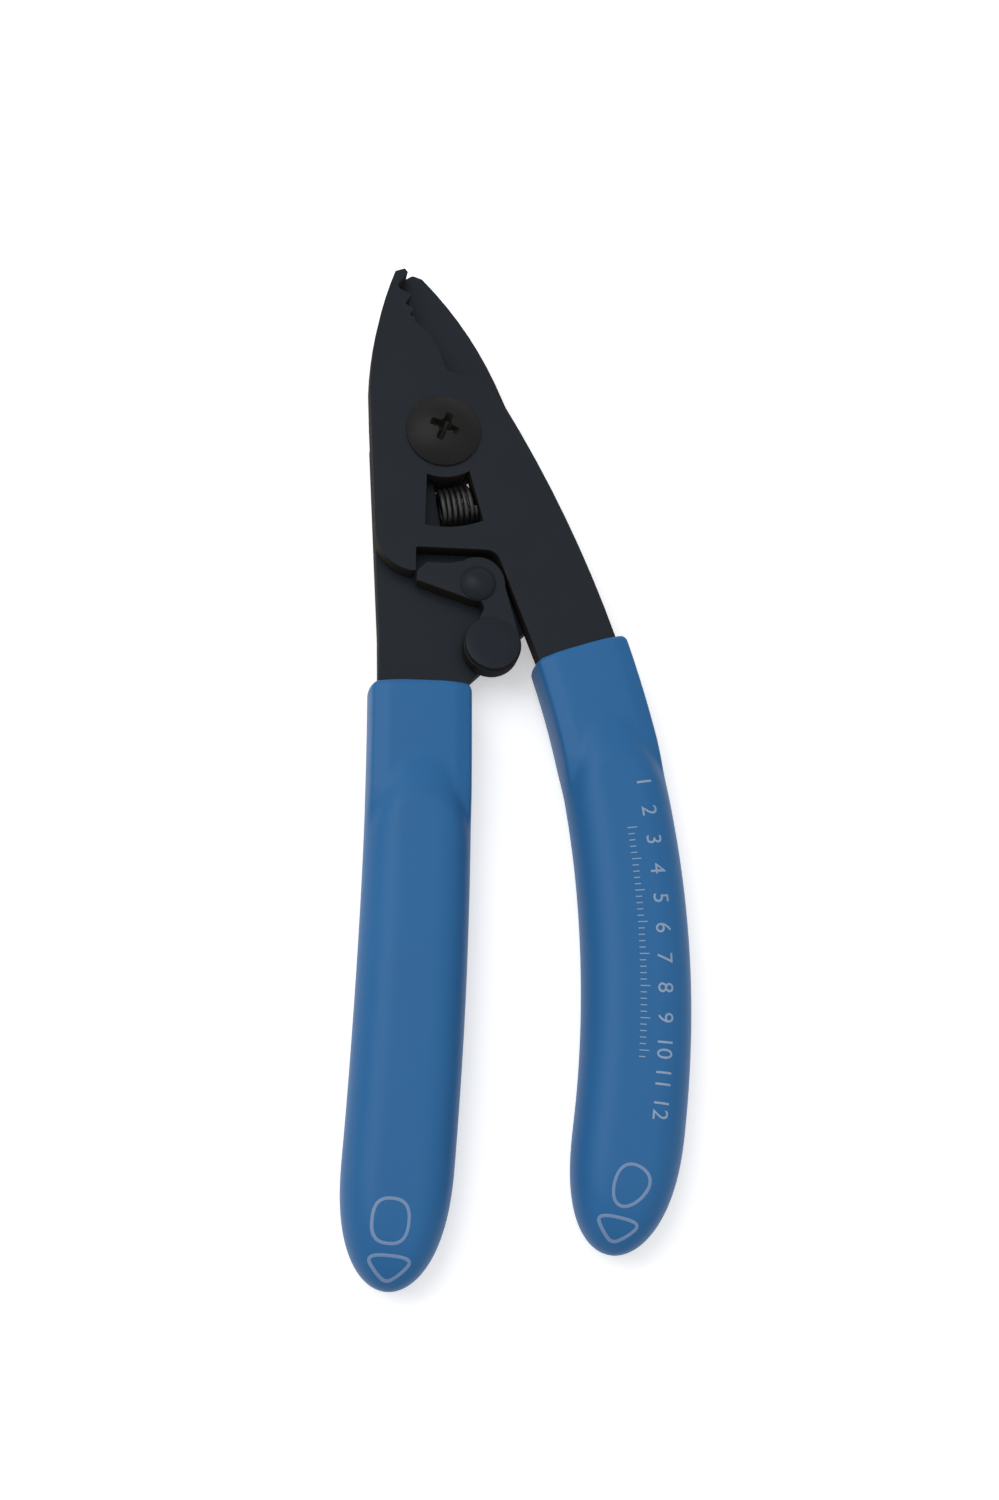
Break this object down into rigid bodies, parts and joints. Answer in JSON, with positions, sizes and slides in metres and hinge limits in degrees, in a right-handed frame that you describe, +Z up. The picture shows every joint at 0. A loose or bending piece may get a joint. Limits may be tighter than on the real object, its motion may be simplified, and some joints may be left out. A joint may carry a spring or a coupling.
{
  "type": "hand_tool",
  "caption": "Fibre stripper with two lapped black steel halves, notched jaws, a spring in the window, a thumb lock lever and blue moulded grips",
  "frame": {"origin": "Bench plane under the grips, at the middle of the bounding box", "axes": "+X right, +Y towards the jaw tips, +Z up out of the front face"},
  "size_m": [0.0546, 0.1657, 0.0134],
  "materials": {
    "black_steel": "satin",
    "dark_hardware": "satin",
    "spring_steel": "satin",
    "blue_grip": "satin"
  },
  "bodies": {
    "rear": {"rear_half": "black_steel", "left_grip": "blue_grip", "pivot_screw": "dark_hardware", "pivot_nut": "dark_hardware", "return_spring": "spring_steel", "lock_rivet": "dark_hardware", "lock_washer": "spring_steel"},
    "front": {"front_half": "black_steel", "right_grip": "blue_grip"},
    "lever": {"lock_lever": "black_steel"}
  },
  "joints": [
    {"name": "handle_pivot", "type": "hinge", "parent": "rear", "child": "front", "pos_m": [-0.01265, 0.0538, 0.0067], "axis": [0, 0, 1], "range_deg": [0, 11.5], "deforming": ["return_spring"]},
    {"name": "lock_turn", "type": "hinge", "parent": "rear", "child": "lever", "pos_m": [-0.00687, 0.02817, 0.0087], "axis": [0, 0, 1], "range_deg": [0, 46]}
  ],
  "couplings": [
    {"joint": "lock_turn", "follows": "handle_pivot", "ratio": 4}
  ]
}
